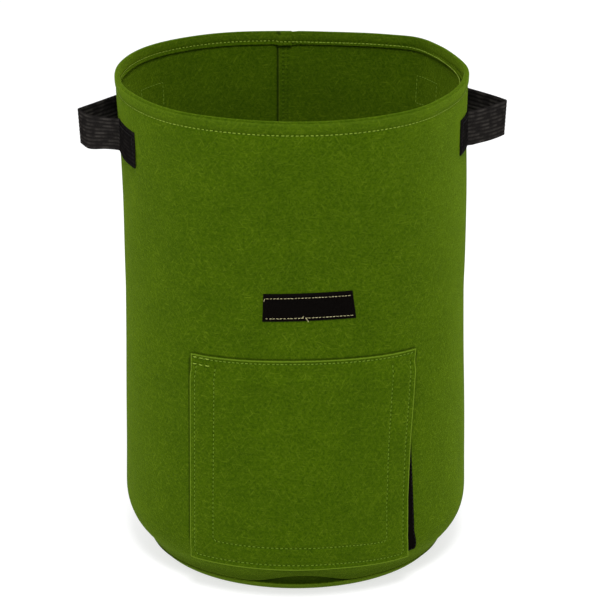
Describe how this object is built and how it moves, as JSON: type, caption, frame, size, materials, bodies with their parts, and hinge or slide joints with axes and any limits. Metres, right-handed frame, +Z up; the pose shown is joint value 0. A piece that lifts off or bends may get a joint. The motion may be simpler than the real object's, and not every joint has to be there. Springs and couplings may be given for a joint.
{
  "type": "fabric grow bag",
  "caption": "Round felt planting bag with a stitched hem, two webbing handles and a hook-and-loop harvest window flap.",
  "frame": {"origin": "where the bag's axis meets the ground, under the middle of the base", "axes": "+Z up along the bag's axis, -Y towards the front with the window flap, +X towards the right-hand handle as the front is seen"},
  "size_m": [0.426, 0.3551, 0.494],
  "materials": {
    "felt": "matt needle-punched felt, moss green",
    "webbing": "black ribbed woven webbing",
    "hook_tape": "black hook tape",
    "loop_tape": "black loop tape",
    "green_thread": "light olive sewing thread",
    "tan_thread": "tan sewing thread",
    "black_thread": "black sewing thread"
  },
  "bodies": {
    "root": {"side_wall": "felt", "base_disc": "felt", "hem_thread_outer": "green_thread", "hem_thread_inner": "green_thread", "back_seam_thread_left": "green_thread", "back_seam_thread_right": "green_thread", "base_seam_thread": "green_thread", "hook_tape_left": "hook_tape", "hook_tape_right": "hook_tape", "hook_tape_bottom": "hook_tape", "hook_thread_outer": "black_thread", "hook_thread_inner": "black_thread", "flap_top_margin": "felt", "flap_top_thread": "green_thread", "roll_keeper": "hook_tape", "keeper_thread_top": "tan_thread", "keeper_thread_bottom": "tan_thread", "handle_left_front_end": "webbing", "handle_left_front_end_thread": "black_thread", "handle_left_back_end": "webbing", "handle_left_back_end_thread": "black_thread", "handle_right_front_end": "webbing", "handle_right_front_end_thread": "black_thread", "handle_right_back_end": "webbing", "handle_right_back_end_thread": "black_thread"},
    "window_flap": {"window_flap": "felt", "loop_tape_left": "loop_tape", "loop_tape_right": "loop_tape", "loop_tape_bottom": "loop_tape", "flap_outer_thread": "green_thread", "flap_inner_thread": "green_thread"},
    "handle_left": {"handle_left": "webbing"},
    "handle_right": {"handle_right": "webbing"}
  },
  "joints": [
    {"name": "window_flap_hinge", "type": "hinge", "parent": "root", "child": "window_flap", "pos_m": [0, -0.17198, 0.243], "axis": [-1, 0, 0], "range_deg": [0, 150]},
    {"name": "handle_left_swing", "type": "hinge", "parent": "root", "child": "handle_left", "pos_m": [-0.16377, 0.02711, 0.456], "axis": [0.1633, 0.9866, 0], "range_deg": [0, 60]},
    {"name": "handle_right_swing", "type": "hinge", "parent": "root", "child": "handle_right", "pos_m": [0.16377, 0.02711, 0.456], "axis": [0.1633, -0.9866, 0], "range_deg": [0, 60]}
  ]
}
